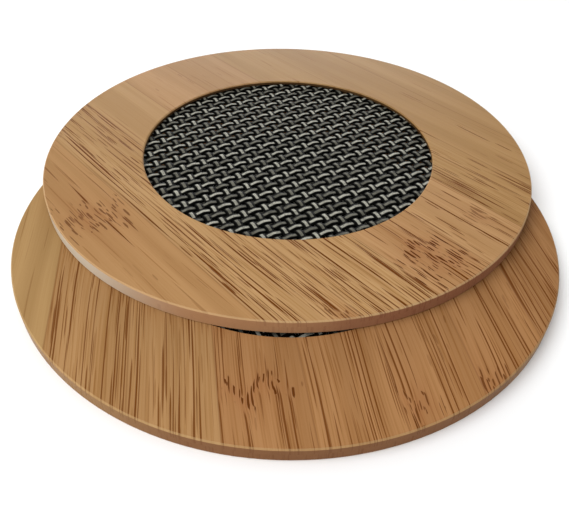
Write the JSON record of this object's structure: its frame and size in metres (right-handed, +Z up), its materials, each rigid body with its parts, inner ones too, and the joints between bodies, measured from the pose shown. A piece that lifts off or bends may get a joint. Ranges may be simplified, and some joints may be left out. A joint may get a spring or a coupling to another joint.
{
  "type": "tea strainer",
  "caption": "Stack of thin round bamboo discs, each a flat ring of glued strips with a coarse woven mesh recessed in its round window.",
  "frame": {"origin": "on the surface that the stack stands on, under the middle of the stack's outline", "axes": "+Z up through the thickness of the stack, +Y along the way the upper disc is shifted from the lower one, towards the upper disc, +X to the right of someone who looks along +Y"},
  "size_m": [0.11, 0.1322, 0.006],
  "materials": {
    "bamboo_face": "satin",
    "bamboo_back": "satin",
    "yarn_light": "matt",
    "yarn_dark": "matt"
  },
  "bodies": {
    "lower_disc": {"lower_face_strip_1": "bamboo_face", "lower_face_strip_2": "bamboo_face", "lower_face_strip_3": "bamboo_face", "lower_face_strip_4": "bamboo_face", "lower_face_strip_5": "bamboo_face", "lower_face_strip_6": "bamboo_face", "lower_face_strip_7": "bamboo_face", "lower_face_strip_8": "bamboo_face", "lower_back_strip_1": "bamboo_back", "lower_back_strip_2": "bamboo_back", "lower_back_strip_3": "bamboo_back", "lower_back_strip_4": "bamboo_back", "lower_back_strip_5": "bamboo_back", "lower_back_strip_6": "bamboo_back", "lower_back_strip_7": "bamboo_back", "lower_back_strip_8": "bamboo_back", "lower_mesh_weft_light": "yarn_light", "lower_mesh_weft_dark": "yarn_dark", "lower_mesh_warp_light": "yarn_light", "lower_mesh_warp_dark": "yarn_dark"},
    "upper_disc": {"upper_face_strip_1": "bamboo_face", "upper_face_strip_2": "bamboo_face", "upper_face_strip_3": "bamboo_face", "upper_face_strip_4": "bamboo_face", "upper_face_strip_5": "bamboo_face", "upper_face_strip_6": "bamboo_face", "upper_face_strip_7": "bamboo_face", "upper_face_strip_8": "bamboo_face", "upper_back_strip_1": "bamboo_back", "upper_back_strip_2": "bamboo_back", "upper_back_strip_3": "bamboo_back", "upper_back_strip_4": "bamboo_back", "upper_back_strip_5": "bamboo_back", "upper_back_strip_6": "bamboo_back", "upper_back_strip_7": "bamboo_back", "upper_back_strip_8": "bamboo_back", "upper_mesh_weft_light": "yarn_light", "upper_mesh_weft_dark": "yarn_dark", "upper_mesh_warp_light": "yarn_light", "upper_mesh_warp_dark": "yarn_dark"}
  },
  "joints": [
    {"name": "upper_lift", "type": "slide", "parent": "lower_disc", "child": "upper_disc", "axis": [0, 0, 1], "range_m": [0, 0.03]}
  ]
}
